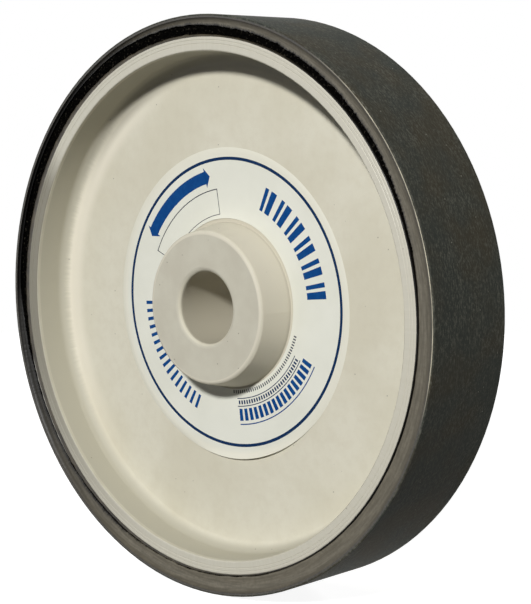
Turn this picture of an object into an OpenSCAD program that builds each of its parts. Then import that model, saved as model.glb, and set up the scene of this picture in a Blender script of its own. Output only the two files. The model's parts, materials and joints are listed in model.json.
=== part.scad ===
// Cushioned diamond grinding wheel for lapidary work.
// A moulded plastic hub carries a ring of soft foam. A cloth belt faced with
// resin and diamond is glued round the foam, and both edges are sealed by hand.
// Millimetres. The spin axis is Y, the labelled front faces -Y, +Z is up, and
// the origin is the middle of the wheel on its axis.

/* [Wheel] */
// Diameter over the diamond face
wheel_d = 203.2; // [180:0.1:260]
// Width of the diamond belt
belt_w = 38.1; // [32:0.1:80]

/* [Hub] */
// Bore for the arbor
bore_d = 25.4; // [12:0.1:30]
// Boss diameter at its outer end, before its edge is rounded
boss_d = 54; // [46:0.5:70]
// Taper on the side of each boss, in degrees
boss_draft = 11; // [1:0.5:15]
// How far each end of the boss sits below the rim
boss_setback = 1.2; // [0:0.1:4]
// Thickness of the web between the two recesses
web_t = 9.6; // [6:0.1:14]
// How far the hub's rim sits inside each edge of the belt
rim_setback = 0.55; // [0.2:0.05:1.5]
// Flat width of the rim's turned face
rim_w = 4.9; // [4.5:0.1:10]
// Taper on the wall of each recess, in degrees
recess_draft = 3; // [1:0.5:8]

/* [Hub edges] */
// Rounding at each mouth of the bore
bore_round = 1.8; // [0.5:0.1:2.5]
// Rounding on the outer edge of each boss
boss_round = 1.4; // [0.5:0.1:2.5]
// Fillet where the boss meets the web
boss_fillet = 0.4; // [0.2:0.1:2]
// Fillet where the recess wall meets the web
recess_fillet = 4; // [1:0.5:5]
// Rounding on both edges of the rim
rim_round = 0.5; // [0.2:0.1:0.8]
// Width of each fine tool line turned in the rim
groove_w = 0.35; // [0.2:0.05:0.5]
// Depth of each fine tool line
groove_depth = 0.12; // [0.05:0.01:0.2]
// Distances of the tool lines from the outer edge of the hub
groove_inset = [1.2, 2.4];

/* [Cushion and belt] */
// Glue film between the hub and the foam
hub_glue_t = 0.3; // [0.1:0.05:0.6]
// Thickness of the foam cushion
foam_t = 5.9; // [5.5:0.1:12]
// How far the foam's sides sit below the hub's rim
foam_setback = 1.05; // [0.8:0.05:1.5]
// Glue film between the foam and the belt
belt_glue_t = 0.2; // [0.1:0.05:0.5]
// Cloth backing of the belt
cloth_t = 0.6; // [0.3:0.05:1]
// Resin and diamond layer on the cloth
diamond_t = 0.6; // [0.4:0.05:1.2]
// Rounding worn on both edges of the diamond layer
diamond_round = 0.35; // [0.1:0.05:0.35]

/* [Edge seals] */
// Seal width where the seal was laid narrowest
seal_narrow = 0.5; // [0.3:0.1:1.5]
// Foam left bare beside the hub where the seal was laid widest
bare_narrow = 0.4; // [0.4:0.05:1]
// Thickness of the seal over the foam, at its inner edge
seal_t = 0.7; // [0.4:0.05:0.8]
// How far the seal stays below the edge of the belt
seal_drop = 0.15; // [0.05:0.05:0.4]
// Where the front seal is narrowest, in degrees from +X towards +Z
front_turn = 140; // [0:5:355]
// Where the rear seal is narrowest, in degrees from +X towards +Z
rear_turn = 25; // [0:5:355]

/* [Glue bead] */
// Width of the squeezed-out glue where it is widest
bead_wide = 2; // [0.6:0.1:2.4]
// How far the glue bead laps on to the foam where it is narrowest
bead_lap = 0.05; // [0.02:0.01:0.1]
// How far the glue bead stays below the rim
bead_setback = 0.45; // [0.3:0.05:0.6]
// Angle from the seal's narrowest place to the bead's widest, in degrees
bead_lead = 25; // [0:5:45]

/* [Label] */
// Diameter of the label
label_d = 110.8; // [90:0.1:120]
// Thickness of the label
label_t = 0.25; // [0.1:0.05:0.5]
// Least gap between the label's hole and the fillet round the boss
label_gap = 0.15; // [0.1:0.05:3]
// How far off centre the label was stuck, towards +X and +Z
label_offset = [0.1, 0.4];

/* [Hidden] */

$fn = 180;
over = 1;

// Radii of the layers, from the outside in
wheel_r = wheel_d / 2;
cloth_r = wheel_r - diamond_t;
belt_in_r = cloth_r - cloth_t;
foam_r = belt_in_r - belt_glue_t;
foam_in_r = foam_r - foam_t;
hub_r = foam_in_r - hub_glue_t;
bore_r = bore_d / 2;

// Heights above the middle of the wheel, along its axis
belt_top = belt_w / 2;
rim_top = belt_top - rim_setback;
boss_top = rim_top - boss_setback;
foam_top = rim_top - foam_setback;
bead_top = rim_top - bead_setback;
web_top = web_t / 2;

// Slanted sides of the boss and the recess
boss_r = boss_d / 2;
boss_foot_r = boss_r + (boss_top - web_top) * tan(boss_draft);
recess_r = hub_r - rim_w;
recess_foot_r = recess_r - (rim_top - web_top) * tan(recess_draft);

// Corners of half the hub's section, before they are rounded
bore_mid = [bore_r, 0];
bore_mouth = [bore_r, boss_top];
boss_edge = [boss_r, boss_top];
boss_foot = [boss_foot_r, web_top];
recess_foot = [recess_foot_r, web_top];
recess_edge = [recess_r, rim_top];
rim_edge = [hub_r, rim_top];
rim_mid = [hub_r, 0];

function unit(v) = v / norm(v);
// Unit directions from a corner to the points before and after it
function arm(at, other) = unit(other - at);
// Half of the angle between the corner's two sides
function half_angle(before, at, after) = acos(arm(at, before) * arm(at, after)) / 2;
// Distance from the corner to where an arc of radius r touches its sides
function touch(before, at, after, r) = r / tan(half_angle(before, at, after));
function arc_centre(before, at, after, r) =
    at + unit(arm(at, before) + arm(at, after)) * r / sin(half_angle(before, at, after));

// The sliver between a corner and the arc that rounds it
module corner_sliver(before, at, after, r) {
    reach = touch(before, at, after, r);
    difference() {
        polygon([
            at + arm(at, before) * reach,
            at - unit(arm(at, before) + arm(at, after)) * r,
            at + arm(at, after) * reach
        ]);
        translate(arc_centre(before, at, after, r)) circle(r);
    }
}

// Turns children from an upright lathe axis to the wheel's axis, front to -Y
module on_axis() {
    rotate([90, 0, 0]) children();
}

// A plain ring about the upright axis
module ring(r_in, r_out, low, high) {
    rotate_extrude() translate([r_in, low]) square([r_out - r_in, high - low]);
}

// A disc whose edge is r_far from the axis on the side turn, and r_near on the
// side across from it
module off_centre_disc(r_far, r_near, turn, low, high) {
    shift = (r_far - r_near) / 2;
    translate([shift * cos(turn), shift * sin(turn), low])
        cylinder(r = (r_far + r_near) / 2, h = high - low);
}

// The space moulded out of each side of the hub, its two inner corners filleted
module recess_section() {
    difference() {
        polygon([[bore_r, boss_top], boss_edge, boss_foot, recess_foot, recess_edge,
            [recess_r, rim_top + over], [bore_r, rim_top + over]]);
        corner_sliver(boss_edge, boss_foot, recess_foot, boss_fillet);
        corner_sliver(boss_foot, recess_foot, recess_edge, recess_fillet);
    }
}

module half_hub_section() {
    difference() {
        polygon([bore_mid, [bore_r, rim_top], rim_edge, rim_mid]);
        recess_section();
        corner_sliver(bore_mid, bore_mouth, boss_edge, bore_round);
        corner_sliver(bore_mouth, boss_edge, boss_foot, boss_round);
        corner_sliver(recess_foot, recess_edge, rim_edge, rim_round);
        corner_sliver(recess_edge, rim_edge, rim_mid, rim_round);
        for (inset = groove_inset)
            translate([hub_r - inset, rim_top])
                polygon([[-groove_w / 2, 0], [0, -groove_depth], [groove_w / 2, 0], [0, over]]);
    }
}

// Moulded hub: two bosses on a web, a deep recess each side, and a turned rim
module hub() {
    color("#d6d0be") on_axis() rotate_extrude() {
        half_hub_section();
        mirror([0, 1]) half_hub_section();
    }
}

// The bead is squeezed out further on one side, so its edge is off centre
module glue_bead(turn) {
    difference() {
        off_centre_disc(hub_r + bead_wide, foam_in_r + bead_lap, turn, foam_top, bead_top);
        translate([0, 0, foam_top - over])
            cylinder(r = hub_r, h = bead_top - foam_top + 2 * over);
    }
}

// Glue between hub and foam, with the bead that shows on each side
module hub_glue() {
    color("#6b655a") on_axis() {
        ring(hub_r, foam_in_r, -foam_top, foam_top);
        glue_bead(front_turn + bead_lead);
        mirror([0, 0, 1]) glue_bead(rear_turn + bead_lead);
    }
}

// Ring of soft foam that lets the belt follow a rounded stone
module foam_cushion() {
    color("#0c0c0b") on_axis() ring(foam_in_r, foam_r, -foam_top, foam_top);
}

// Glue between foam and belt
module belt_glue() {
    color("#57524a") on_axis() ring(foam_r, belt_in_r, -foam_top, foam_top);
}

// Cloth backing of the belt
module belt_cloth() {
    color("#8c8370") on_axis() ring(belt_in_r, cloth_r, -belt_top, belt_top);
}

module half_diamond_section() {
    inner_low = [cloth_r, 0];
    inner_edge = [cloth_r, belt_top];
    outer_edge = [wheel_r, belt_top];
    outer_low = [wheel_r, 0];
    difference() {
        polygon([inner_low, inner_edge, outer_edge, outer_low]);
        corner_sliver(inner_edge, outer_edge, outer_low, diamond_round);
    }
}

// Resin layer filled with diamond, the working face of the wheel
module diamond_face() {
    color("#3a3c38") on_axis() rotate_extrude() {
        half_diamond_section();
        mirror([0, 1]) half_diamond_section();
    }
}

// Seal that climbs from the foam to the edge of the belt. Its inner edge is off
// centre, so it bares a crescent of foam on the side where it is narrow.
module edge_seal(turn) {
    difference() {
        rotate_extrude() polygon([
            [foam_in_r, foam_top],
            [belt_in_r, foam_top],
            [belt_in_r, belt_top - seal_drop],
            [foam_in_r, foam_top + seal_t]
        ]);
        off_centre_disc(belt_in_r - seal_narrow, foam_in_r + bare_narrow, turn,
            foam_top - over, belt_top + over);
    }
}

module front_seal() {
    color("#6a6358") on_axis() edge_seal(front_turn);
}

module rear_seal() {
    color("#6a6358") on_axis() mirror([0, 0, 1]) edge_seal(rear_turn);
}

// Stuck-on label with a hole that clears the foot of the boss
module label() {
    hole_r = boss_foot_r + boss_fillet + norm(label_offset) + label_gap;
    color("#e4e4e0") on_axis() translate([label_offset[0], label_offset[1], 0])
        ring(hole_r, label_d / 2, web_top, web_top + label_t);
}

hub();
hub_glue();
foam_cushion();
belt_glue();
belt_cloth();
diamond_face();
front_seal();
rear_seal();
label();
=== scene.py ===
"""A cushioned diamond grinding wheel for lapidary work, finished piece by piece in the order it is
put together: moulded hub, glue, foam, belt, sealed edges, label and print. The spin axis is Y, the
labelled front faces -Y, and turns are measured from +X towards +Z."""
import json
import math

import bpy
from mathutils import Matrix, Vector, noise


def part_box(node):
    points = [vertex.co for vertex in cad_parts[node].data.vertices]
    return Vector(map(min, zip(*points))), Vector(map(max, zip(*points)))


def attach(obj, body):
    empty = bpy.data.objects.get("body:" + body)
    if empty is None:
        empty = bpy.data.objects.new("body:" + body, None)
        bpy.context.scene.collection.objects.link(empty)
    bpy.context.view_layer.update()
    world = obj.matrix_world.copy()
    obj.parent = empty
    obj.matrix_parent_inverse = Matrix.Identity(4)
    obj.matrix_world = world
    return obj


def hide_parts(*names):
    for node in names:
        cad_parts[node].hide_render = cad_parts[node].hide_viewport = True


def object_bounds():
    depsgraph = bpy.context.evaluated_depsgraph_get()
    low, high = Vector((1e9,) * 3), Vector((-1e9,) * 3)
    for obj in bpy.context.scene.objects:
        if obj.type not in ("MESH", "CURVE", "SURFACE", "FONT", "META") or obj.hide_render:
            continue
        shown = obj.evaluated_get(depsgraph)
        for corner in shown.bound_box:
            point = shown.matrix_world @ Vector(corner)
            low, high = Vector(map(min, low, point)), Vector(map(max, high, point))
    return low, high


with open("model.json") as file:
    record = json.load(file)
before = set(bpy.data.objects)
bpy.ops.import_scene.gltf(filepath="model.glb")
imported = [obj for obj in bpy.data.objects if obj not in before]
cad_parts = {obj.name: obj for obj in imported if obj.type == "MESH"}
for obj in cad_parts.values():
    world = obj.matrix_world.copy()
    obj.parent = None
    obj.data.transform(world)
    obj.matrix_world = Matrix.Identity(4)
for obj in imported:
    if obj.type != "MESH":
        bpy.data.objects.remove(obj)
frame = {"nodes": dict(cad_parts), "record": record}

cad_low, cad_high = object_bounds()
MM = 0.001

# ---------------------------------------------------------------------------------------------
# Hub
# One moulding in cream ABS: a web with a boss and a deep recess on each side. It leaves the mould
# satin, and its rim is then turned true on a lathe, which leaves fine rings and faint chatter.
# ---------------------------------------------------------------------------------------------


def linear(hex_colour):
    """The linear colour of an sRGB hex value."""
    parts = [int(hex_colour[i:i + 2], 16) / 255 for i in (1, 3, 5)]
    return [p / 12.92 if p <= 0.04045 else ((p + 0.055) / 1.055) ** 2.4 for p in parts] + [1]


def add(tree, kind, sockets=None, **settings):
    """One node. Settings are its properties, and sockets gives each input a value or a feed."""
    made = tree.nodes.new("ShaderNode" + kind)
    for name, value in settings.items():
        setattr(made, name, value)
    for key, value in (sockets or {}).items():
        if isinstance(value, bpy.types.NodeSocket):
            tree.links.new(value, made.inputs[key])
        else:
            made.inputs[key].default_value = value
    return made


def new_material(name):
    """An empty material: its node tree, with nothing in it but the output."""
    material = bpy.data.materials.new(name)
    material.use_nodes = True
    material.node_tree.nodes.clear()
    return material, material.node_tree


def surface(tree, **sockets):
    """Ends a material with its shader. Underscores in the names of inputs stand for spaces."""
    shader = add(tree, "BsdfPrincipled", {k.replace("_", " "): v for k, v in sockets.items()})
    add(tree, "OutputMaterial", {"Surface": shader.outputs[0]})


def lathe_coordinates(tree):
    """Where a point is on the turned form: distance from the axis, distance from the middle
    along it, the direction round it as a unit vector, and the plain place."""
    place = add(tree, "TexCoord").outputs["Object"]
    across = add(tree, "VectorMath", {0: place, 1: (1, 0, 1)}, operation="MULTIPLY").outputs[0]
    radius = add(tree, "VectorMath", {0: across}, operation="LENGTH").outputs["Value"]
    direction = add(tree, "VectorMath", {0: across}, operation="NORMALIZE").outputs[0]
    along = add(tree, "SeparateXYZ", {0: place}).outputs[1]
    height = add(tree, "Math", {0: along}, operation="ABSOLUTE").outputs[0]
    return radius, height, direction, place


def ramp(tree, value, low, high, at_low=0.0, at_high=1.0):
    """Follows value smoothly from at_low, where it is low, to at_high, where it is high."""
    return add(tree, "MapRange", {0: value, 1: low, 2: high, 3: at_low, 4: at_high},
               interpolation_type="SMOOTHSTEP").outputs[0]


def mixed(tree, share, first, second):
    """Goes from the first colour to the second as share goes from 0 to 1."""
    return add(tree, "Mix", {0: share, 6: first, 7: second}, data_type="RGBA").outputs[2]


def clouds(tree, place, grain_mm, detail=3.0, roughness=0.5):
    """Soft noise whose grains are about that many millimetres across."""
    return add(tree, "TexNoise", {"Vector": place, "Scale": 1000 / grain_mm, "Detail": detail,
                                  "Roughness": roughness}).outputs[0]


def product(tree, first, second):
    """The product of two shares."""
    return add(tree, "Math", {0: first, 1: second}, operation="MULTIPLY").outputs[0]


def zone(tree, value, low, high, soft):
    """One where value is between low and high, going to nothing over the soft distance outside."""
    return product(tree, ramp(tree, value, low - soft, low), ramp(tree, value, high, high + soft, 1, 0))


def dress(node, material):
    """Gives a carried-over node its one material."""
    node.data.materials.clear()
    node.data.materials.append(material)


def turn_from_left(tree, direction):
    """The turn in degrees from -X, so that it jumps only at +X."""
    parts = add(tree, "SeparateXYZ", {0: direction}).outputs
    back_x = add(tree, "Math", {0: parts[0], 1: -1.0}, operation="MULTIPLY").outputs[0]
    back_z = add(tree, "Math", {0: parts[2], 1: -1.0}, operation="MULTIPLY").outputs[0]
    turn = add(tree, "Math", {0: back_z, 1: back_x}, operation="ARCTAN2").outputs[0]
    return add(tree, "Math", {0: turn}, operation="DEGREES").outputs[0]


hub = frame["nodes"]["hub"]
hub_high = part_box("hub")[1]
hub_r, rim_y = hub_high.x, hub_high.y
mounts = {mount["name"]: mount for mount in frame["record"]["mounts"]}
bore_r = mounts["arbor_bore"]["dims"]["r_mm"] * MM
boss_y = abs(mounts["front_boss_face"]["pos_m"][1])
web_y = -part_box("label")[1].y
boss_r = 27 * MM
boss_foot_r = 30.6 * MM
fillet_in, fillet_out = 84.8 * MM, 87.8 * MM

# Moulded ABS: cream and satin, with a slight cloudiness, a fine mould grain and a few dark specks
# of dust. A paler band on one side of the web, near the recess's foot, is a painted highlight. The
# wall is painted darker and greyer as shade, with a rippled lower edge, and a painted shadow darkens
# the top of the recess. The boss's foot is painted a little darker as shade. The lathe cut the rim,
# the boss's ends and the bore, which are greyer, and one side of the rim is darker. The rounded edge
# of the boss carries a painted highlight.
abs_moulded, tree = new_material("moulded_abs")
radius, height, direction, place = lathe_coordinates(tree)
rim = ramp(tree, height, rim_y - 0.3 * MM, rim_y - 0.12 * MM)
boss_end = ramp(tree, height, boss_y - 0.5 * MM, boss_y - 0.1 * MM)
bore = ramp(tree, radius, bore_r + 0.05 * MM, bore_r + 0.2 * MM, 1.0, 0.0)
cloudy = ramp(tree, clouds(tree, place, 38), 0.35, 0.65)
cream = mixed(tree, cloudy, linear("#dcd8c6"), linear("#d4cfbb"))
mottle = ramp(tree, clouds(tree, place, 5, 5, 0.65), 0.35, 0.75, 0.0, 0.35)
cream = mixed(tree, mottle, cream, linear("#cbc4af"))
left_turn = turn_from_left(tree, direction)
chatter_place = add(tree, "VectorMath", {0: direction, 3: 0.16}, operation="SCALE").outputs[0]
chatter = clouds(tree, chatter_place, 1.8, 5, 0.65)
# Painted highlight: a paler band on one side of the web, near the recess's foot.
highlight_turns = product(tree, ramp(tree, left_turn, -80, -40), ramp(tree, left_turn, 10, 55, 0.8, 0.05))
painted_highlight_band = product(tree, zone(tree, radius, 81.5 * MM, 84 * MM, 5 * MM), highlight_turns)
cream = mixed(tree, painted_highlight_band, cream, linear("#e9e3d2"))
# Painted shade: the recess wall is darker and greyer, from a foot that ripples on one side.
ripple = add(tree, "MapRange", {0: chatter, 1: 0.25, 2: 0.75, 3: -0.6 * MM, 4: 0.6 * MM}).outputs[0]
rippled_side = zone(tree, left_turn, -30, 5, 40)
ripple = product(tree, ripple, rippled_side)
rippled = add(tree, "Math", {0: radius, 1: ripple}, operation="ADD").outputs[0]
wall = ramp(tree, rippled, fillet_in, fillet_out)
cream = mixed(tree, wall, cream, linear("#b9b5a4"))
# Painted shadow: the top of the recess is darker, on the web's edge and the fillet, less on the wall.
upward = add(tree, "SeparateXYZ", {0: direction}).outputs[2]
painted_shadow = product(tree, ramp(tree, upward, 0.35, 0.9, 0.0, 0.65), ramp(tree, radius, 81 * MM, 85 * MM))
painted_shadow = product(tree, painted_shadow, ramp(tree, radius, 87.4 * MM, 88.3 * MM, 1, 0.4))
cream = mixed(tree, painted_shadow, cream, linear("#8b8778"))
boss_side = product(tree, zone(tree, radius, boss_r + 0.2 * MM, 31 * MM, 0.4 * MM),
                    ramp(tree, height, web_y + 0.2 * MM, web_y + 0.6 * MM))
cream = mixed(tree, boss_side, cream, linear("#d3cdbb"))
# Painted shade: a slightly darker ring where the boss meets the web.
boss_foot = product(tree, zone(tree, radius, 29.2 * MM, boss_foot_r, 0.2 * MM),
                    ramp(tree, height, web_y + 0.6 * MM, web_y + 1.2 * MM, 1, 0))
cream = mixed(tree, boss_foot, cream, linear("#c9c3b1"))
end_smear = ramp(tree, clouds(tree, place, 9, 4), 0.3, 0.7)
end_cream = mixed(tree, end_smear, linear("#cbc7b6"), linear("#c4bfae"))
cream = mixed(tree, boss_end, cream, end_cream)
cream = mixed(tree, bore, cream, linear("#b7b19f"))
# Painted highlight: a paler band on the boss's rounded edge.
painted_edge_highlight = product(tree, zone(tree, radius, 25.9 * MM, 26.5 * MM, 0.4 * MM),
                 ramp(tree, height, boss_y - 1.9 * MM, boss_y - 1.5 * MM))
cream = mixed(tree, painted_edge_highlight, cream, linear("#d8d2c0"))
# One side of the rim is darker.
darker_side = product(tree, ramp(tree, left_turn, -38, -24), ramp(tree, left_turn, 5, 85, 1, 0))
rim_cream = mixed(tree, ramp(tree, chatter, 0.3, 0.7), linear("#c9c5b5"), linear("#cdc9ba"))
rim_cream = mixed(tree, darker_side, rim_cream, linear("#837f71"))
cream = mixed(tree, rim, cream, rim_cream)
speck_cells = add(tree, "TexVoronoi", {"Vector": place, "Scale": 1000 / 4.5}, feature="F1")
speck_near = ramp(tree, speck_cells.outputs["Distance"], 0.035, 0.07, 1.0, 0.0)
speck_pick = add(tree, "SeparateColor", {0: speck_cells.outputs["Color"]}).outputs[0]
more_on_boss = ramp(tree, radius, 28 * MM, 31 * MM, 0.35, 0)
speck_pick = add(tree, "Math", {0: speck_pick, 1: more_on_boss}, operation="ADD").outputs[0]
speck_rare = ramp(tree, speck_pick, 0.62, 0.64)
specks = product(tree, product(tree, speck_near, speck_rare), 0.6)
cream = mixed(tree, specks, cream, linear("#6f6759"))
gloss = add(tree, "MapRange", {0: rim, 3: 0.55, 4: 0.4}).outputs[0]
grain = add(tree, "Bump", {"Strength": 0.25, "Distance": 0.05 * MM,
                           "Height": clouds(tree, place, 0.8, 2)}).outputs[0]
foot = product(tree, zone(tree, radius, 85 * MM, 87.5 * MM, 0.8 * MM), rippled_side)
cut_or_foot = add(tree, "Math", {0: rim, 1: foot}, operation="ADD").outputs[0]
ridges = product(tree, chatter, cut_or_foot)
grain = add(tree, "Bump", {"Strength": 0.3, "Distance": 0.03 * MM, "Height": ridges,
                           "Normal": grain}).outputs[0]
surface(tree, Base_Color=cream, Roughness=gloss, Specular_IOR_Level=0.2, Normal=grain)
dress(hub, abs_moulded)

# ---------------------------------------------------------------------------------------------
# Hub glue
# A film of contact glue holds the foam on the hub. What squeezed out stands as a smooth brown
# bead in the corner between the rim and the foam, wider on one side where more was brushed on.
# ---------------------------------------------------------------------------------------------
glue_t = 0.3 * MM
foam_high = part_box("foam_cushion")[1]
foam_y = foam_high.y

# Cured contact glue: brown, smooth and shiny as varnish, a little uneven where it sagged, with a
# painted white glint along a short piece of its edge. Away from its wide side it is painted near black
# as shade.
contact_glue, tree = new_material("cured_contact_glue")
radius, _, direction, place = lathe_coordinates(tree)
brown = mixed(tree, ramp(tree, clouds(tree, place, 6), 0.3, 0.7), linear("#2c2820"), linear("#4d4638"))
sag = add(tree, "Bump", {"Strength": 0.5, "Distance": 0.2 * MM,
                         "Height": clouds(tree, place, 2.5, 1)}).outputs[0]
left_turn = turn_from_left(tree, direction)
# Painted highlight: a white glint along a short piece of the bead's edge.
painted_glint = product(tree, zone(tree, left_turn, 20, 36, 6), ramp(tree, radius, 95.7 * MM, 96.1 * MM))
brown = mixed(tree, painted_glint, brown, linear("#cfccc1"))
# Painted shade: away from its wide side the glue goes near black.
off_left = add(tree, "Math", {0: left_turn}, operation="ABSOLUTE").outputs[0]
brown = mixed(tree, ramp(tree, off_left, 95, 125), brown, linear("#0e0d0a"))
surface(tree, Base_Color=brown, Roughness=0.3, Specular_IOR_Level=0.25, Normal=sag)

# ---------------------------------------------------------------------------------------------
# Foam cushion
# A ring of black sponge rubber, die cut, so its sides show the torn open cells.
# ---------------------------------------------------------------------------------------------
foam_out = foam_high.x
foam_in = hub_r + glue_t
cell = 0.9 * MM


def ring_of(name, section, around):
    """A closed ring turned from a section, a list of (radius, height along Y) in metres. It starts
    as a circle of edges, which is extruded and scaled from one point of the section to the next."""
    bpy.ops.object.select_all(action="DESELECT")
    first_r, first_y = section[0]
    bpy.ops.mesh.primitive_circle_add(vertices=around, radius=first_r, location=(0, first_y, 0),
                                      rotation=(math.pi / 2, 0, 0))
    ring = bpy.context.object
    ring.name = ring.data.name = name
    bpy.ops.object.transform_apply(location=True, rotation=True)
    bpy.ops.object.mode_set(mode="EDIT")
    bpy.ops.mesh.select_mode(type="VERT")
    bpy.ops.mesh.select_all(action="SELECT")
    for (r, y), (next_r, next_y) in zip(section, section[1:] + section[:1]):
        bpy.ops.mesh.extrude_edges_move(TRANSFORM_OT_translate={"value": (0, next_y - y, 0)})
        share = next_r / r
        bpy.ops.transform.resize(value=(share, 1, share), center_override=(0, next_y, 0))
    bpy.ops.mesh.select_all(action="SELECT")
    bpy.ops.mesh.remove_doubles(threshold=1e-6)
    bpy.ops.mesh.normals_make_consistent(inside=False)
    bpy.ops.object.mode_set(mode="OBJECT")
    bpy.ops.object.shade_smooth()
    return ring


def between(low, high, steps):
    """The values from low up to but not including high, in equal steps."""
    return [low + (high - low) * i / steps for i in range(steps)]


side_cells = 14
foam_section = [(r, -foam_y) for r in between(foam_in, foam_out, side_cells)]
foam_section += [(r, foam_y) for r in between(foam_out, foam_in, side_cells)]
foam_ring = ring_of("foam_ring", foam_section, 900)
cells = bpy.data.textures.new("foam_cells", type="CLOUDS")
cells.noise_scale = cell
cells.noise_depth = 2
sides = foam_ring.vertex_groups.new(name="cut_sides")
sides.add([v.index for v in foam_ring.data.vertices
           if foam_in + 0.2 * MM < math.hypot(v.co.x, v.co.z) < foam_out - 0.2 * MM], 1, "REPLACE")
torn = foam_ring.modifiers.new("torn_cells", "DISPLACE")
torn.texture = cells
torn.texture_coords = "LOCAL"
torn.vertex_group = sides.name
torn.strength = 0.7 * MM
torn.mid_level = 1.0
bpy.ops.object.modifier_apply(modifier=torn.name)

# Sponge rubber: dead black, with no shine, because light is lost in the cells
sponge, tree = new_material("cut_sponge_rubber")
place = add(tree, "TexCoord").outputs["Object"]
pores = add(tree, "TexVoronoi", {"Vector": place, "Scale": 1000 / 0.8}, feature="F1").outputs[0]
black = mixed(tree, pores, linear("#020202"), linear("#0b0a09"))
skins = ramp(tree, clouds(tree, place, 0.9, 2, 0.6), 0.58, 0.68, 0.0, 0.8)
black = mixed(tree, skins, black, linear("#35322b"))
open_cells = add(tree, "Bump", {"Strength": 0.8, "Distance": 0.3 * MM, "Height": pores}).outputs[0]
surface(tree, Base_Color=black, Roughness=0.95, Specular_IOR_Level=0.0, Normal=open_cells)
foam_ring.data.materials.append(sponge)
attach(foam_ring, "root")
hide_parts("foam_cushion")

# How far out the bead on the front reaches: (turn in degrees, radius in mm)
front_bead = [(0, 94.35), (60, 94.4), (80, 94.45), (100, 95.1), (120, 95.6), (140, 96.2), (160, 96.4),
              (180, 96.5), (200, 96.8), (220, 96.6), (240, 95.6), (260, 95.1), (280, 94.5), (310, 94.2),
              (345, 94.2)]
rear_bead = [(0, 95.3), (50, 95.9), (90, 95.3), (150, 94.6), (250, 94.4), (320, 94.6)]
bead_in = hub_r - 0.25 * MM
bead_out = hub_r + 1.0 * MM
bead_top = foam_y + 0.85 * MM
bead_arc = 8
bead_section = [(bead_in, foam_y - 0.3 * MM), (bead_in, bead_top)]
for i in range(bead_arc + 1):
    lean = math.pi * 0.5 * i / bead_arc
    bead_section.append((hub_r + (bead_out - hub_r) * math.sin(lean),
                         foam_y + (bead_top - foam_y) * math.cos(lean)))
bead_section.append((bead_out, foam_y - 0.3 * MM))


def edge_radius(edge, turn):
    """The edge's radius in metres at a turn in degrees, eased between its points."""
    points = edge + [(edge[0][0] + 360, edge[0][1])]
    for (turn_a, r_a), (turn_b, r_b) in zip(points, points[1:]):
        if turn_a <= turn <= turn_b:
            share = (turn - turn_a) / (turn_b - turn_a)
            return (r_a + (r_b - r_a) * share * share * (3 - 2 * share)) * MM
    raise ValueError(turn)


def glue_bead(name, front, edge):
    """The squeezed-out glue on one side. It is turned at one width, and its outer part is then
    drawn in or out to follow the edge."""
    ring = ring_of(name, [(r, -y if front else y) for r, y in bead_section], 1200)
    for vertex in ring.data.vertices:
        x, y, z = vertex.co
        r = math.hypot(x, z)
        if r > hub_r:
            outward = Vector((x / r, 0, z / r))
            edge_r = edge_radius(edge, math.degrees(math.atan2(z, x)) % 360)
            edge_r += 0.25 * min(MM, edge_r - hub_r) * noise.noise(outward * 40)
            share = (r - hub_r) / (bead_out - hub_r)
            vertex.co = outward * (hub_r + (edge_r - hub_r) * share) + Vector((0, y, 0))
    ring.data.materials.append(contact_glue)
    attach(ring, "root")
    return ring


film_ring = ring_of("hub_glue_film", [(hub_r, -foam_y), (foam_in, -foam_y), (foam_in, foam_y),
                                      (hub_r, foam_y)], 360)
film_ring.data.materials.append(contact_glue)
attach(film_ring, "root")
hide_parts("hub_glue")
glue_bead("front_glue_bead", True, front_bead)
glue_bead("rear_glue_bead", False, rear_bead)

# ---------------------------------------------------------------------------------------------
# Belt
# A woven cloth loop carries resin filled with fine diamond. It is glued round the foam. The cloth
# shows only at the belt's edges, dark, with a pale painted highlight on one side.
# ---------------------------------------------------------------------------------------------
dress(frame["nodes"]["belt_glue"], contact_glue)

cloth_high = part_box("belt_cloth")[1]
cloth_out, belt_y = cloth_high.x, cloth_high.y

# Cotton backing cloth. Its cut edge has soaked up the sealer, so it is nearly as dark, and on one
# side of the wheel its outer edge carries a pale painted highlight.
backing, tree = new_material("sealed_cotton_cloth")
radius, _, direction, place = lathe_coordinates(tree)
thread_place = add(tree, "VectorMath", {0: direction, 3: 0.1}, operation="SCALE").outputs[0]
threads = clouds(tree, thread_place, 0.9)
cotton = mixed(tree, ramp(tree, threads, 0.35, 0.65), linear("#2c2a26"), linear("#3f3b34"))
# Painted highlight: a pale line on the cloth's outer edge, on one side of the wheel.
highlight_side = add(tree, "VectorMath", {0: direction, 1: (0.93, 0, 0.37)}, operation="DOT_PRODUCT")
painted_cloth_highlight = product(tree, ramp(tree, highlight_side.outputs["Value"], 0.76, 0.93),
               ramp(tree, clouds(tree, place, 8), 0.3, 0.6, 0.4, 0.95))
painted_cloth_highlight = product(tree, painted_cloth_highlight, ramp(tree, radius, cloth_out - 0.4 * MM, cloth_out - 0.3 * MM))
cotton = mixed(tree, painted_cloth_highlight, cotton, linear("#cfc7af"))
fray = add(tree, "Bump", {"Strength": 0.4, "Distance": 0.1 * MM, "Height": threads}).outputs[0]
surface(tree, Base_Color=cotton, Roughness=0.6, Normal=fray)
dress(frame["nodes"]["belt_cloth"], backing)

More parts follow.
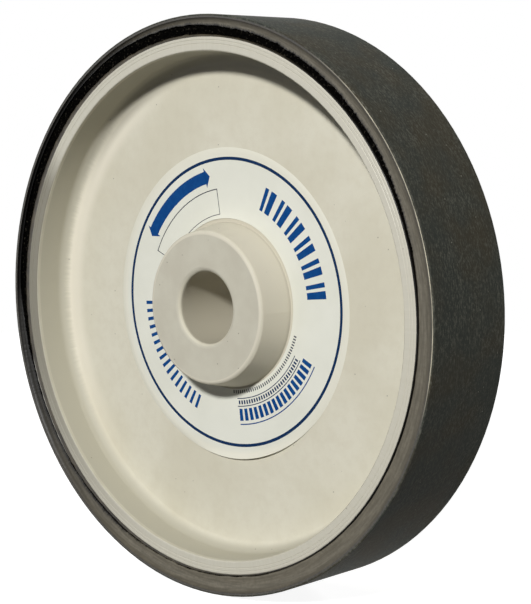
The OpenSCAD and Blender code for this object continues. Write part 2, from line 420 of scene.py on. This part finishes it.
# Resin filled with diamond: nearly black, matt and gritty, with paler flecks drawn out along the
# belt's run and a few bright grains. The grit is drawn at 0.5 mm, about ten times its real size.
diamond_resin, tree = new_material("diamond_filled_resin")
place = add(tree, "TexCoord").outputs["Object"]
drawn_out = add(tree, "VectorMath", {0: place, 1: (1, 2.2, 1)}, operation="MULTIPLY").outputs[0]
worn = ramp(tree, clouds(tree, place, 12, 3), 0.35, 0.65, 0.55, 1)
flecks = product(tree, ramp(tree, clouds(tree, drawn_out, 1.4, 6, 0.75), 0.46, 0.66), worn)
patches = ramp(tree, clouds(tree, place, 22, 4), 0.4, 0.68)
resin = mixed(tree, patches, linear("#363934"), linear("#3e3a2f"))
resin = mixed(tree, flecks, resin, linear("#64645a"))
scuff_place = add(tree, "VectorMath", {0: place, 1: (0.5, 2.5, 0.25)}, operation="MULTIPLY").outputs[0]
scuffs = product(tree, ramp(tree, clouds(tree, scuff_place, 3.5, 6, 0.85), 0.56, 0.66, 0, 0.7), worn)
resin = mixed(tree, scuffs, resin, linear("#6b6b60"))
grit_cells = add(tree, "TexVoronoi", {"Vector": place, "Scale": 1000 / 2.6}, feature="F1")
bright = ramp(tree, grit_cells.outputs["Distance"], 0.05, 0.1, 1.0, 0.0)
bright_rare = ramp(tree, add(tree, "SeparateColor", {0: grit_cells.outputs["Color"]}).outputs[1],
                   0.82, 0.86)
resin = mixed(tree, product(tree, bright, bright_rare), resin, linear("#a3a294"))
grit = add(tree, "Bump", {"Strength": 0.5, "Distance": 0.08 * MM,
                          "Height": clouds(tree, place, 0.5, 2, 0.7)}).outputs[0]
surface(tree, Base_Color=resin, Roughness=0.75, Specular_IOR_Level=0.12, Normal=grit)
dress(frame["nodes"]["diamond_face"], diamond_resin)

# ---------------------------------------------------------------------------------------------
# Edge seals
# Flexible sealer is brushed by hand over the foam's sides to keep slurry out. It climbs the belt
# and thins towards the hub, and it leaves a crescent of foam bare where the brush ran wide.
# ---------------------------------------------------------------------------------------------
seal_out = cloth_out - 0.65 * MM
seal_crown = belt_y - 0.12 * MM

# Where the front seal's inner edge runs: (turn in degrees, radius in mm)
front_edge = [(0, 94.3), (20, 94.9), (40, 95.9), (60, 96.4), (80, 97.2), (100, 98.4), (120, 99.4),
              (140, 99.9), (160, 100.1), (178, 100.0), (188, 98.4), (200, 97.4), (220, 96.8),
              (240, 96.2), (260, 95.6), (280, 94.8), (300, 94.3), (330, 94.25)]
rear_edge = [(0, 98.8), (40, 99.2), (80, 98.4), (120, 97.2), (160, 96.0), (200, 95.2), (240, 94.8),
             (280, 95.2), (320, 97.0)]

seal_shares = [0, 0.012] + between(0.05, 0.4, 6) + between(0.4, 0.92, 6) + [0.92, 0.95, 0.975, 0.99, 1]


def edge_seal(name, front, edge):
    """One seal. Its section is turned at full width, and its inner part is then drawn out, point
    by point, so that the inner edge wanders as the brush left it. How far each point is from that
    edge is kept as inset."""
    in_r = foam_in + 0.1 * MM
    section = [(seal_out, foam_y - 0.9 * MM)]
    for share in seal_shares:
        film_y = foam_y + 0.3 * MM + (seal_crown - foam_y - 0.3 * MM) * (1 - share) ** 3
        drop = max(0, (share - 0.92) / 0.08)
        section.append((seal_out + (in_r - seal_out) * share,
                        foam_y + (film_y - foam_y) * math.sqrt(1 - drop * drop)))
    section.append((in_r, foam_y - 0.9 * MM))
    ring = ring_of(name, [(r, -y if front else y) for r, y in section], 3000)
    inset = ring.data.attributes.new("inset", "FLOAT", "POINT")
    for vertex in ring.data.vertices:
        x, y, z = vertex.co
        r = math.hypot(x, z)
        outward = Vector((x / r, 0, z / r))
        edge_r = edge_radius(edge, math.degrees(math.atan2(z, x)) % 360)
        wide = min(1, max(0, (seal_out - edge_r) / (3 * MM)))
        edge_r += wide * min(0.35 * MM, abs(edge_r - in_r)) * noise.noise(outward * 24)
        bared = min(1, max(0, (edge_r - in_r) / MM))
        edge_r += bared * (0.05 + 0.3 * wide) * MM * noise.noise(outward * 150)
        share = (seal_out - r) / (seal_out - in_r)
        inset.data[vertex.index].value = (seal_out - edge_r) * (1 - share)
        vertex.co = outward * (seal_out + (edge_r - seal_out) * share) + Vector((0, y, 0))
    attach(ring, "root")
    return ring


# Brushed-on sealer: grey-brown rubbery film, satin and a little mottled, with low waves along the
# brush's run. Painted shade darkens it towards the belt and turns one side near black. Towards its
# inner edge it fades to near black, as foam showing through and as painted shade, less on the lower
# right.
sealer, tree = new_material("brushed_flexible_sealer")
radius, _, direction, place = lathe_coordinates(tree)
brushed = add(tree, "VectorMath", {0: direction, 3: 0.1}, operation="SCALE").outputs[0]
brushed = add(tree, "CombineXYZ", {0: add(tree, "SeparateXYZ", {0: brushed}).outputs[0],
                                   1: add(tree, "Math", {0: radius, 1: 12.0},
                                          operation="MULTIPLY").outputs[0],
                                   2: add(tree, "SeparateXYZ", {0: brushed}).outputs[2]}).outputs[0]
strokes = clouds(tree, brushed, 9, 4)
film = mixed(tree, ramp(tree, strokes, 0.3, 0.7), linear("#5b564a"), linear("#736d5f"))
grains = clouds(tree, place, 1.4, 4, 0.7)
film = mixed(tree, ramp(tree, grains, 0.35, 0.75, 0, 0.6), film, linear("#544f43"))
# Painted shade: the sealer is darker towards the belt.
film = mixed(tree, ramp(tree, radius, 98.6 * MM, 100.2 * MM, 0, 0.5), film, linear("#3f3b32"))
left_turn = turn_from_left(tree, direction)
# Painted shade: one side of the sealer is near black.
painted_shade_side = product(tree, ramp(tree, left_turn, -75, -45), ramp(tree, left_turn, 15, 75, 1, 0))
film = mixed(tree, painted_shade_side, film, linear("#1b1a17"))
# Towards its inner edge the film fades to near black, as foam showing through and as painted shade, with
# a shorter fade on the lower right.
inset = add(tree, "Attribute", attribute_name="inset").outputs["Fac"]
speckle = add(tree, "MapRange", {0: clouds(tree, place, 0.5, 3), 1: 0.3, 2: 0.7,
                                 3: -0.35 * MM, 4: 0.35 * MM})
inset = add(tree, "Math", {0: inset, 1: speckle.outputs[0]}, operation="ADD").outputs[0]
short_fade_side = add(tree, "VectorMath", {0: direction, 1: (0.64, 0, -0.77)}, operation="DOT_PRODUCT")
short_fade_side = ramp(tree, short_fade_side.outputs["Value"], 0.3, 0.65, 0, 1.3 * MM)
inset = add(tree, "Math", {0: inset, 1: short_fade_side}, operation="ADD").outputs[0]
film = mixed(tree, ramp(tree, inset, 0, 1.3 * MM), linear("#0d0c0b"), film)
waves = add(tree, "Bump", {"Strength": 0.35, "Distance": 0.15 * MM, "Height": strokes}).outputs[0]
surface(tree, Base_Color=film, Roughness=0.4, Specular_IOR_Level=0.15, Normal=waves)
front_coat = edge_seal("front_edge_coat", True, front_edge)
front_coat.data.materials.append(sealer)
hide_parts("front_seal")
rear_coat = edge_seal("rear_edge_coat", False, rear_edge)
rear_coat.data.materials.append(sealer)
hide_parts("rear_seal")

# ---------------------------------------------------------------------------------------------
# Label
# A round self-adhesive sheet of white vinyl with a hole for the boss, stuck on the front web.
# ---------------------------------------------------------------------------------------------
label_low, label_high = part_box("label")
label_face = label_low.y
label_back = label_high.y
label_centre = (label_low + label_high) / 2
label_r = (label_high.x - label_low.x) / 2
label_hole = 30.4 * MM
lift = 1.3 * MM
lift_turn = math.radians(282)
lift_width = 2.2 * MM

label_section = [(r, label_back) for r in between(label_r, label_hole, 24)]
label_section += [(r, label_face) for r in between(label_hole, label_r, 24)]
label_sheet = ring_of("label_sheet", label_section, 360)
for vertex in label_sheet.data.vertices:
    x, y, z = vertex.co
    off_turn = abs(math.remainder(math.atan2(z, x) - lift_turn, math.tau))
    near = max(0, 1 - off_turn / math.radians(40))
    out = max(0, 1 - (label_r - math.hypot(x, z)) / lift_width)
    vertex.co.y -= lift * math.sin(near * math.pi / 2) ** 2 * out * out
bpy.ops.object.mode_set(mode="EDIT")
bpy.ops.mesh.select_all(action="SELECT")
bpy.ops.transform.translate(value=(label_centre.x, 0, label_centre.z))
bpy.ops.object.mode_set(mode="OBJECT")
bpy.ops.object.shade_smooth_by_angle(angle=math.radians(40))

# White vinyl: smooth, with a soft shine, and a little yellowed towards its edge
vinyl, tree = new_material("white_vinyl_sheet")
radius, _, _, place = lathe_coordinates(tree)
white = mixed(tree, ramp(tree, clouds(tree, place, 20), 0.3, 0.7), linear("#e6e6da"), linear("#e0e0d3"))
white = mixed(tree, ramp(tree, radius, 51 * MM, 53.5 * MM, 0, 0.6), white, linear("#e3dfcd"))
surface(tree, Base_Color=white, Roughness=0.45, Specular_IOR_Level=0.2)
label_sheet.data.materials.append(vinyl)
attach(label_sheet, "root")
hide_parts("label")

# ---------------------------------------------------------------------------------------------
# Print
# Screen-printed ink on the label, thick enough to feel. It holds plain generic marks only: a ring,
# a two-way arrow, an empty box to write in, and rows of bars.
# ---------------------------------------------------------------------------------------------
ink_t = 0.03 * MM
print_x, print_z = 1.1 * MM, 0.9 * MM
ink_y = label_face - ink_t / 2


def print_bar(inner, outer, start, stop):
    """Ink between two radii in mm and two turns in degrees: a slip of ink spun round the print's
    centre."""
    bpy.ops.object.select_all(action="DESELECT")
    width = (outer - inner) * MM
    middle = (inner + outer) / 2 * MM
    bpy.ops.mesh.primitive_plane_add(size=1, location=(middle, ink_y, 0))
    mark = bpy.context.object
    bpy.ops.object.mode_set(mode="EDIT")
    bpy.ops.mesh.select_all(action="SELECT")
    bpy.ops.transform.resize(value=(width, ink_t, 1), center_override=(middle, ink_y, 0))
    steps = max(2, math.ceil((stop - start) / 2))
    if stop - start >= 360:
        bpy.ops.mesh.delete(type="ONLY_FACE")
        bpy.ops.mesh.select_all(action="SELECT")
    bpy.ops.mesh.spin(steps=steps, angle=math.radians(stop - start), center=(0, ink_y, 0),
                      axis=(0, 1, 0))
    bpy.ops.mesh.select_all(action="SELECT")
    bpy.ops.mesh.remove_doubles(threshold=1e-7)
    bpy.ops.mesh.normals_make_consistent(inside=False)
    bpy.ops.object.mode_set(mode="OBJECT")
    bpy.ops.object.transform_apply(location=True)
    mark.rotation_euler = (0, -math.radians(start), 0)
    bpy.ops.object.transform_apply(rotation=True)
    mark.location = (print_x, 0, print_z)
    bpy.ops.object.transform_apply(location=True)
    return mark


def print_piece(name, marks, ink):
    """Joins marks in one ink into a piece of the print."""
    bpy.ops.object.select_all(action="DESELECT")
    for mark in marks:
        mark.select_set(True)
    bpy.context.view_layer.objects.active = marks[0]
    if len(marks) > 1:
        bpy.ops.object.join()
    piece = bpy.context.object
    piece.name = piece.data.name = name
    piece.data.materials.clear()
    piece.data.materials.append(ink)
    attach(piece, "root")
    return piece


def screen_ink(name, hex_colour, thin_colour):
    """Screen ink: flat and even, a little thinner in places."""
    ink, ink_tree = new_material(name)
    spot = add(ink_tree, "TexCoord").outputs["Object"]
    colour = mixed(ink_tree, ramp(ink_tree, clouds(ink_tree, spot, 1.5), 0.3, 0.8),
                   linear(hex_colour), linear(thin_colour))
    surface(ink_tree, Base_Color=colour, Roughness=0.6, Specular_IOR_Level=0.06)
    return ink


blue_ink = screen_ink("blue_screen_ink", "#05407f", "#0b4987")
navy_ink = screen_ink("navy_screen_ink", "#0c2a4e", "#11315a")
grey_ink = screen_ink("grey_screen_ink", "#3c3f49", "#4b4e57")


def row_of_bars(inner, outer, start, step, width, count):
    """Equal bars in a row round the print's centre: the first is made and the rest are copies."""
    first = print_bar(inner, outer, start, start + width)
    centre = Matrix.Translation((print_x, 0, print_z))
    bars = [first]
    for i in range(1, count):
        bar = first.copy()
        bar.data = first.data.copy()
        bpy.context.scene.collection.objects.link(bar)
        bar.data.transform(centre @ Matrix.Rotation(-math.radians(step * i), 4, "Y") @ centre.inverted())
        bars.append(bar)
    return bars


def arrow_head(base_turn, tip_turn):
    """A triangle of ink from one turn to another, in degrees, across the arrow's band. It starts as
    an even triangle, whose height is 1.5 times and whose side is root 3 times its circle's radius."""
    bpy.ops.object.select_all(action="DESELECT")
    length = abs(tip_turn - base_turn) * math.pi / 180 * arrow_r
    bpy.ops.mesh.primitive_circle_add(vertices=3, radius=length, fill_type="NGON",
                                      rotation=(math.pi / 2, 0, 0))
    head = bpy.context.object
    bpy.ops.object.transform_apply(rotation=True)
    bpy.ops.object.mode_set(mode="EDIT")
    bpy.ops.mesh.select_all(action="SELECT")
    low_z = min(v.co.z for v in head.data.vertices)
    bpy.ops.transform.translate(value=(0, 0, -low_z))
    bpy.ops.transform.resize(value=(head_width / (length * math.sqrt(3)), 1, 1 / 1.5),
                             center_override=(0, 0, 0))
    bpy.ops.mesh.extrude_region_move(TRANSFORM_OT_translate={"value": (0, -ink_t, 0)})
    bpy.ops.mesh.select_all(action="SELECT")
    bpy.ops.mesh.normals_make_consistent(inside=False)
    bpy.ops.object.mode_set(mode="OBJECT")
    if tip_turn < base_turn:
        head.rotation_euler = (0, math.pi, 0)
        bpy.ops.object.transform_apply(rotation=True)
    head.location = (arrow_r, label_face, 0)
    bpy.ops.object.transform_apply(location=True)
    head.rotation_euler = (0, -math.radians(base_turn), 0)
    bpy.ops.object.transform_apply(rotation=True)
    head.location = (print_x, 0, print_z)
    bpy.ops.object.transform_apply(location=True)
    return head


arrow_r = 45.5 * MM
head_width = 7.2 * MM
print_piece("print_ring", [print_bar(50.5, 51.6, 0, 360)], navy_ink)
print_piece("print_arrow", [print_bar(43.3, 47.8, 106, 149), arrow_head(106.2, 103.2),
                            arrow_head(148.8, 151.8)], blue_ink)
print_piece("print_box", [print_bar(31.5, 31.75, 100, 156), print_bar(40.4, 40.75, 100, 156),
                          print_bar(31.5, 40.75, 99.6, 100), print_bar(31.5, 40.75, 156, 156.4)],
            grey_ink)
print_piece("print_wide_bars", row_of_bars(36.1, 44.6, 6, 10.9, 3.6, 6)
            + row_of_bars(36.1, 44.6, 11.2, 10.9, 2.2, 6), blue_ink)
print_piece("print_left_bars", row_of_bars(38.2, 43.6, 183.5, 4.1, 1.7, 16), blue_ink)
print_piece("print_right_bars", row_of_bars(37.9, 42.2, 276, 3.5, 2.2, 17)
            + [print_bar(43.3, 43.7, 276, 334.2)], blue_ink)
print_piece("print_right_ticks", row_of_bars(34.9, 36.3, 276, 2.0, 1.1, 28)
            + [print_bar(34.05, 34.35, 275, 332), print_bar(36.85, 37.15, 275, 332)], navy_ink)
print_piece("print_fine_ticks", row_of_bars(31.2, 32.4, 272, 1.9, 0.9, 38), grey_ink)

# ---------------------------------------------------------------------------------------------
# Stage
# A pale floor under the wheel, a key lamp high on the right, a strip on the left that only draws
# shine, and one lamp behind for the other side.
# ---------------------------------------------------------------------------------------------
floor_r = 0.7


def seen_directly(tree):
    """One where the camera, a reflection or a clear piece sees the surface, and otherwise nothing."""
    light = add(tree, "LightPath").outputs
    seen = add(tree, "Math", {0: light["Is Camera Ray"], 1: light["Is Glossy Ray"]}, operation="MAXIMUM")
    return add(tree, "Math", {0: seen.outputs[0], 1: light["Is Transmission Ray"]},
               operation="MAXIMUM").outputs[0]


bpy.ops.object.select_all(action="DESELECT")
bpy.ops.mesh.primitive_circle_add(vertices=96, radius=floor_r, fill_type="NGON",
                                  location=(0, 0, cad_low.z))
floor = bpy.context.object
floor.name = "floor"
paper, tree = new_material("pale_floor")
lit = add(tree, "BsdfDiffuse", {"Color": linear("#b0b0b0")}).outputs[0]
dull = add(tree, "BsdfDiffuse", {"Color": linear("#505050")}).outputs[0]
glow = add(tree, "Emission", {"Color": (1, 1, 1, 1), "Strength": 0.92}).outputs[0]
both = add(tree, "AddShader", {0: lit, 1: glow}).outputs[0]
shown = add(tree, "MixShader", {0: seen_directly(tree), 1: dull, 2: both}).outputs[0]
add(tree, "OutputMaterial", {"Surface": shown})
floor.data.materials.append(paper)

world = bpy.data.worlds.new("studio")
bpy.context.scene.world = world
world.use_nodes = True
world.node_tree.nodes.clear()
tree = world.node_tree
white_wall = add(tree, "Background", {"Color": (1, 1, 1, 1), "Strength": 1.0}).outputs[0]
dim_room = add(tree, "Background", {"Color": (1, 1, 1, 1), "Strength": 0.01}).outputs[0]
shown = add(tree, "MixShader", {0: seen_directly(tree), 1: dim_room, 2: white_wall}).outputs[0]
add(tree, "OutputWorld", {"Surface": shown})


def lamp(name, towards, distance, width, depth, power):
    """An area lamp that far from the wheel in that direction, facing the wheel."""
    bpy.ops.object.light_add(type="AREA")
    made = bpy.context.object
    made.name = made.data.name = name
    made.data.shape = "RECTANGLE"
    made.data.size = width
    made.data.size_y = depth
    made.data.energy = power
    back = Vector(towards).normalized()
    made.location = back * distance
    made.rotation_euler = back.to_track_quat("Z", "Y").to_euler()
    return made


def heading(azimuth, elevation):
    """The unit vector at that azimuth, from -Y towards +X, and elevation, in degrees."""
    a, e = math.radians(azimuth), math.radians(elevation)
    return Vector((math.sin(a) * math.cos(e), -math.cos(a) * math.cos(e), math.sin(e)))


key_wide = 0.28
rear_wide = 0.3
lamp("key", (0.43, -1, 0.58), 3, key_wide, key_wide, 90)
strip = lamp("strip", heading(-39.5, -7), 1.5, 0.46, 0.75, 8)
strip.visible_diffuse = False
lamp("rear_key", (-0.55, 1, 0.15), 1.5, rear_wide, rear_wide, 15)

camera_aim = Vector((0.0297, -0.0182, 0.0045))
camera_distance = 0.5853
bpy.ops.object.camera_add()
camera = bpy.context.object
camera.name = "camera"
camera.data.lens = 103.3
camera.data.sensor_width = 36
camera_back = heading(42.54, 6.64)
camera.location = camera_aim + camera_back * camera_distance
camera.rotation_euler = camera_back.to_track_quat("Z", "Y").to_euler()
bpy.context.scene.camera = camera
bpy.context.scene.view_settings.view_transform = "Standard"
